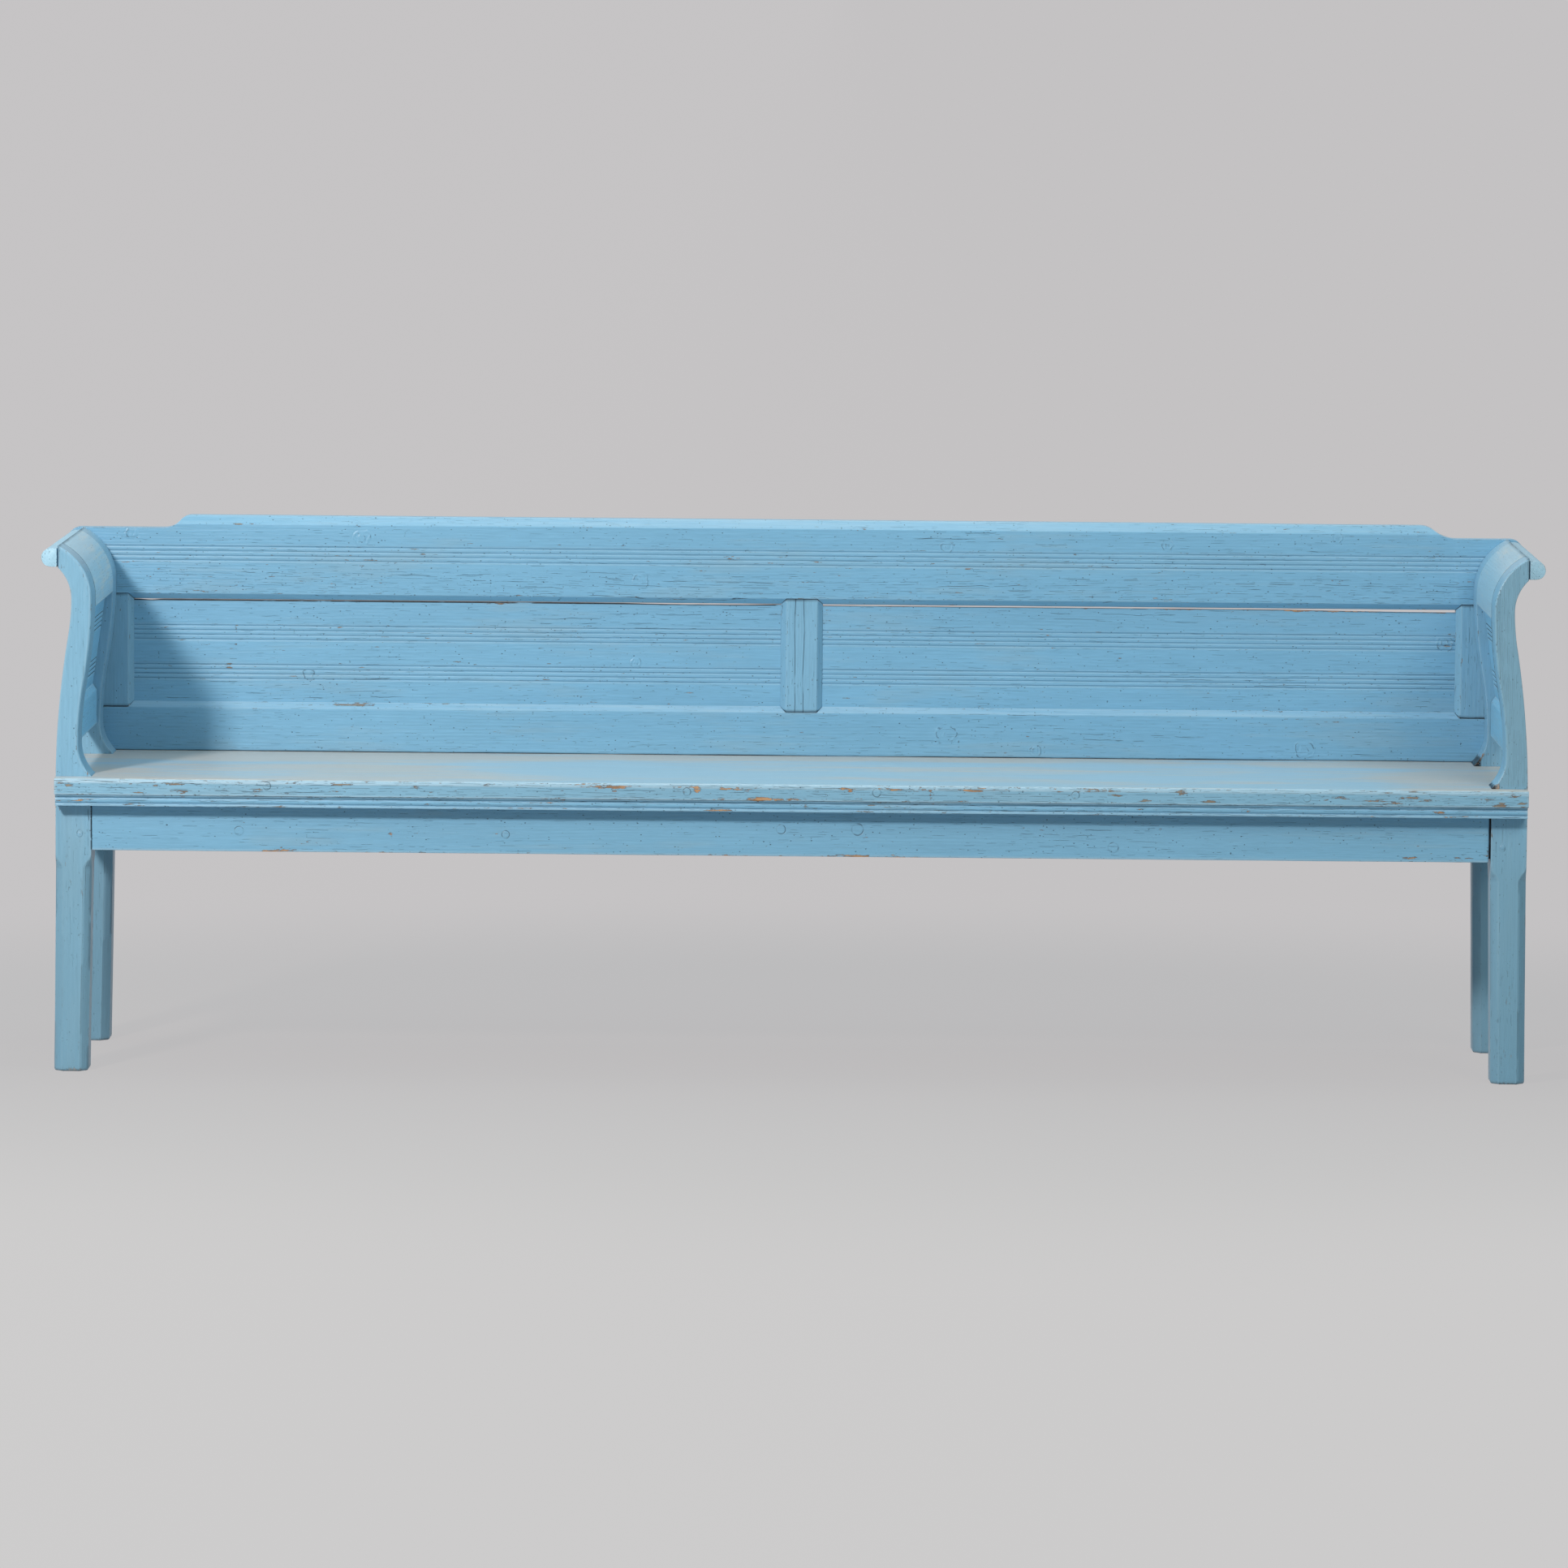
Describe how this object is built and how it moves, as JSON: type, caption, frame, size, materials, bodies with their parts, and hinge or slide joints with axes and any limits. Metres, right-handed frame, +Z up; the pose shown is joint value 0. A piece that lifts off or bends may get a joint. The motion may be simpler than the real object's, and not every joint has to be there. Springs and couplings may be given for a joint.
{
  "type": "painted country settle",
  "caption": "Long wooden settle with four chamfered legs, a board seat, scroll-topped panelled arms and a framed back with grooved panels",
  "frame": {"origin": "on the floor under the middle of the settle's bounding box", "axes": "+X along the bench to the right as seen from the front, +Y towards the back, +Z up"},
  "size_m": [2.316, 0.487, 0.836],
  "materials": {
    "blue_paint": "softwood brush-painted a light greyish blue, satin, worn to bare wood along edges",
    "seat_paint": "softwood painted a paler, greyer blue, rubbed by use",
    "peg_paint": "end grain of whittled pegs under the same blue paint",
    "nail_iron": "forged iron nail heads, punched in flush and painted over"
  },
  "bodies": {
    "root": {"front_leg_left": "blue_paint", "front_leg_right": "blue_paint", "rear_leg_left": "blue_paint", "rear_leg_right": "blue_paint", "seat_moulding": "blue_paint", "front_apron": "blue_paint", "rear_apron": "blue_paint", "side_apron_left": "blue_paint", "side_apron_right": "blue_paint", "seat_bearer_left": "blue_paint", "seat_bearer_right": "blue_paint", "back_top_rail": "blue_paint", "back_bottom_rail": "blue_paint", "back_stile_left": "blue_paint", "back_stile_right": "blue_paint", "back_muntin": "blue_paint", "back_panel_left": "blue_paint", "back_panel_right": "blue_paint", "arm_top_left": "blue_paint", "arm_top_right": "blue_paint", "arm_bottom_rail_left": "blue_paint", "arm_bottom_rail_right": "blue_paint", "arm_panel_left": "blue_paint", "arm_panel_right": "blue_paint", "arm_roll_left": "blue_paint", "arm_roll_right": "blue_paint", "seat_board": "seat_paint", "apron_pegs": "peg_paint", "arm_pegs": "peg_paint", "frame_pegs": "peg_paint", "back_nails": "nail_iron"}
  },
  "joints": []
}
